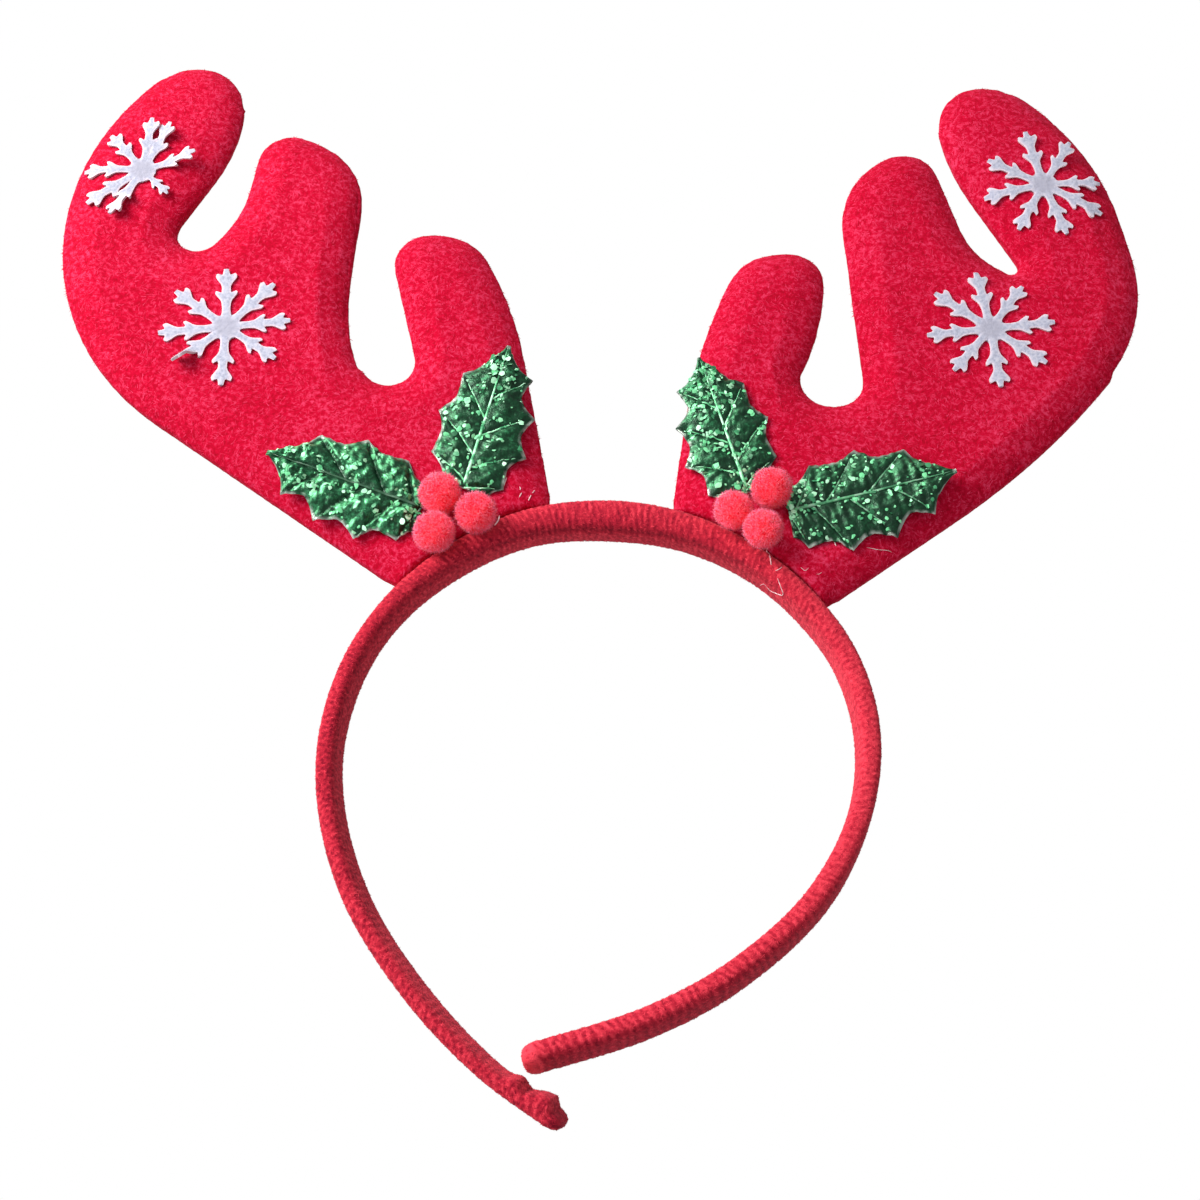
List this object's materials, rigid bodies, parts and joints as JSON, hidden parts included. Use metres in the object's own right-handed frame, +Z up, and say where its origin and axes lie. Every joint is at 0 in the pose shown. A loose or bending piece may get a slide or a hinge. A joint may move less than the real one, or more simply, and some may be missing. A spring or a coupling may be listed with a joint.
{
  "type": "reindeer antler headband",
  "caption": "Open plush-wrapped hoop headband with stuffed felt reindeer antlers, trimmed with holly leaves, pompom berries and felt snowflakes; worn over the crown of the head.",
  "frame": {"origin": "middle of the footprint, on the surface that the headband lies on", "axes": "+X across the hoop to the wearer's right in the picture's view, +Y from the hoop's ends to the antler tips, +Z up out of the trimmed faces"},
  "size_m": [0.2642, 0.2776, 0.0188],
  "materials": {
    "band": "ribbed plush",
    "felt": "brushed felt",
    "leaf": "embossed glitter cloth",
    "berry": "fuzzy yarn pompom",
    "flake": "cut felt"
  },
  "bodies": {
    "root": {"hoop_band": "band", "antler_left": "felt", "antler_right": "felt", "leaf_upper_left": "leaf", "leaf_lower_left": "leaf", "leaf_upper_right": "leaf", "leaf_lower_right": "leaf", "berry_left_top": "berry", "berry_left_inner": "berry", "berry_left_low": "berry", "berry_right_top": "berry", "berry_right_inner": "berry", "berry_right_low": "berry", "flake_left_high": "flake", "flake_left_low": "flake", "flake_right_high": "flake", "flake_right_low": "flake"}
  },
  "joints": []
}
